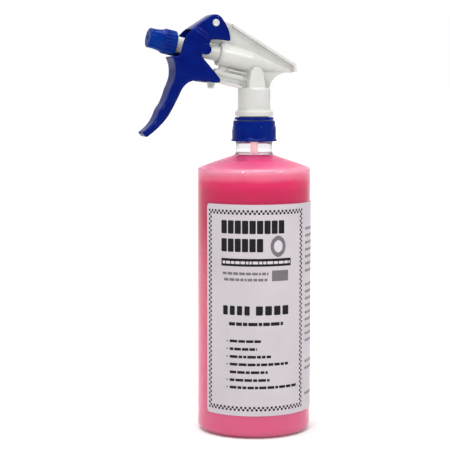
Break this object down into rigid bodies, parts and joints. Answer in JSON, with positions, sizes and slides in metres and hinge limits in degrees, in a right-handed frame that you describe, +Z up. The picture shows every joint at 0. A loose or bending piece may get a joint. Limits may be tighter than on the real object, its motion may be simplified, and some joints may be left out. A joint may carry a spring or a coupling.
{
  "type": "trigger spray bottle",
  "caption": "Tall round clear bottle of pink lubricant with a wrap-round label, ribbed screw collar and trigger sprayer with working lever, plunger, nozzle and ball valves.",
  "frame": {"origin": "middle of the flat base on the bottle's axis, in the plane it stands on", "axes": "+Z up along the bottle's axis; the nozzle points along -X and the sprayer is symmetric about the XZ plane; the label's front faces -Y turned 20 degrees towards -X"},
  "size_m": [0.1276, 0.0826, 0.3004],
  "materials": {
    "clear_bottle": "clear blow-moulded plastic",
    "pink_lube": "clear pink liquid",
    "label_film": "satin printed film",
    "blue_plastic": "glossy moulded polypropylene",
    "white_plastic": "semi-gloss moulded polypropylene",
    "natural_plastic": "natural polyethylene",
    "seal": "soft matt elastomer",
    "steel": "bright stainless"
  },
  "bodies": {
    "bottle": {"bottle": "clear_bottle", "lube_fill": "pink_lube", "label": "label_film"},
    "head": {"head_body": "white_plastic", "neck_gasket": "seal", "tube_retainer": "white_plastic", "dip_tube": "natural_plastic", "pivot_pin": "white_plastic", "barrel_cap": "white_plastic", "return_spring": "steel"},
    "collar": {"collar": "blue_plastic"},
    "trigger": {"trigger": "blue_plastic"},
    "plunger": {"plunger": "white_plastic", "piston_cup": "natural_plastic", "spinner": "natural_plastic", "discharge_spring": "steel"},
    "discharge_valve": {"discharge_ball": "steel"},
    "nozzle_seal": {"nozzle_seal": "seal"},
    "nozzle": {"nozzle": "blue_plastic"},
    "inlet_valve": {"inlet_ball": "steel"}
  },
  "joints": [
    {"name": "head_lift", "type": "slide", "parent": "bottle", "child": "head", "axis": [0, 0, 1], "range_m": [0, 0.00465]},
    {"name": "collar_turn", "type": "hinge", "parent": "head", "child": "collar", "pos_m": [0, 0, 0.21885], "axis": [0, 0, 1], "range_deg": [0, 396]},
    {"name": "trigger_pull", "type": "hinge", "parent": "head", "child": "trigger", "pos_m": [-0.0317, 0, 0.29408], "axis": [0, -1, 0], "range_deg": [0, 26], "stiffness_Nm_per_rad": 0.8, "springref_deg": -17.19},
    {"name": "plunger_stroke", "type": "slide", "parent": "head", "child": "plunger", "axis": [0.9781, 0, -0.2079], "range_m": [0, 0.0094], "deforming": ["return_spring"]},
    {"name": "discharge_check", "type": "slide", "parent": "plunger", "child": "discharge_valve", "axis": [-0.9781, 0, 0.2079], "range_m": [0, 0.001], "stiffness_N_per_m": 40, "springref_m": -0.002, "deforming": ["discharge_spring"]},
    {"name": "nozzle_advance", "type": "slide", "parent": "plunger", "child": "nozzle_seal", "axis": [-0.9781, 0, 0.2079], "range_m": [0, 0.002]},
    {"name": "nozzle_turn", "type": "hinge", "parent": "nozzle_seal", "child": "nozzle", "pos_m": [-0.0695, 0, 0.28133], "axis": [-0.9781, 0, 0.2079], "range_deg": [0, 360]},
    {"name": "inlet_check", "type": "slide", "parent": "head", "child": "inlet_valve", "axis": [0, 0, 1], "range_m": [0, 0.0015]}
  ],
  "couplings": [
    {"joint": "collar_turn", "follows": "head_lift", "rad_per_m": 1485.4},
    {"joint": "plunger_stroke", "follows": "trigger_pull", "m_per_rad": 0.0207},
    {"joint": "nozzle_turn", "follows": "nozzle_advance", "rad_per_m": 3141.6}
  ]
}
